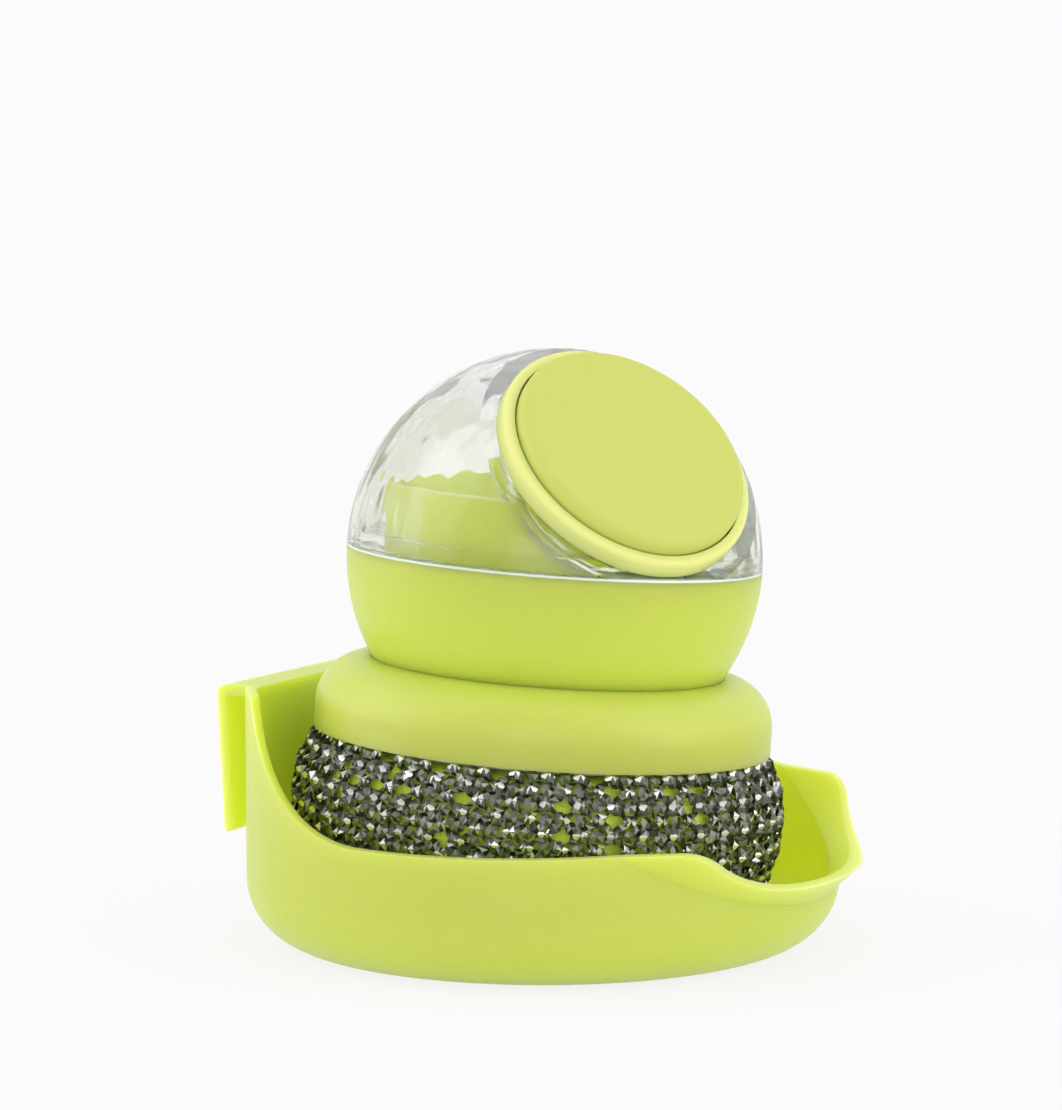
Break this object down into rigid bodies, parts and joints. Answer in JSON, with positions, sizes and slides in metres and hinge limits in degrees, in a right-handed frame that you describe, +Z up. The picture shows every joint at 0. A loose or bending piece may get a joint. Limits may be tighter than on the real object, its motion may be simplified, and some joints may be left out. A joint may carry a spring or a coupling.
{
  "type": "dish wand",
  "caption": "Soap dispensing palm scrubber with a clear ball reservoir, a press cap and a net covered pad, resting in a sink caddy with a hook and pouring lip.",
  "frame": {"origin": "centre of the caddy's flat base, on the surface that it stands on", "axes": "+Z up out of the base, +X from the hook side toward the pouring lip, +Y completes the right-handed frame"},
  "size_m": [0.1043, 0.0974, 0.0971],
  "materials": {
    "lime_plastic": "satin",
    "lime_silicone": "satin",
    "clear_plastic": "gloss",
    "foam": "matte",
    "metallic_net": "bright metallised yarn",
    "white_plastic": "matte",
    "clear_silicone": "satin"
  },
  "bodies": {
    "caddy": {"tray": "lime_plastic"},
    "scrubber": {"head": "lime_plastic", "neck_nut": "white_plastic", "bowl": "lime_plastic", "valve": "clear_silicone", "valve_ring": "white_plastic", "seal_ring": "clear_silicone", "dome": "clear_plastic"},
    "pad": {"pad_foam": "foam", "pad_net": "metallic_net", "pad_plate": "white_plastic"},
    "cap": {"fill_cap": "lime_silicone"},
    "pump_button": {"button": "lime_silicone"}
  },
  "joints": [
    {"name": "scrubber_lift", "type": "slide", "parent": "caddy", "child": "scrubber", "axis": [0.0627, 0.0306, 0.9976], "range_m": [0, 0.07]},
    {"name": "pad_turn", "type": "hinge", "parent": "scrubber", "child": "pad", "pos_m": [-0.00176, -0.00086, 0.00774], "axis": [0.0627, 0.0306, 0.9976], "range_deg": [0, 40]},
    {"name": "cap_pull", "type": "slide", "parent": "scrubber", "child": "cap", "axis": [0.6593, -0.3497, 0.6656], "range_m": [0, 0.02]},
    {"name": "button_press", "type": "slide", "parent": "cap", "child": "pump_button", "axis": [-0.6593, 0.3497, -0.6656], "range_m": [0, 0.0018], "stiffness_N_per_m": 1500}
  ]
}
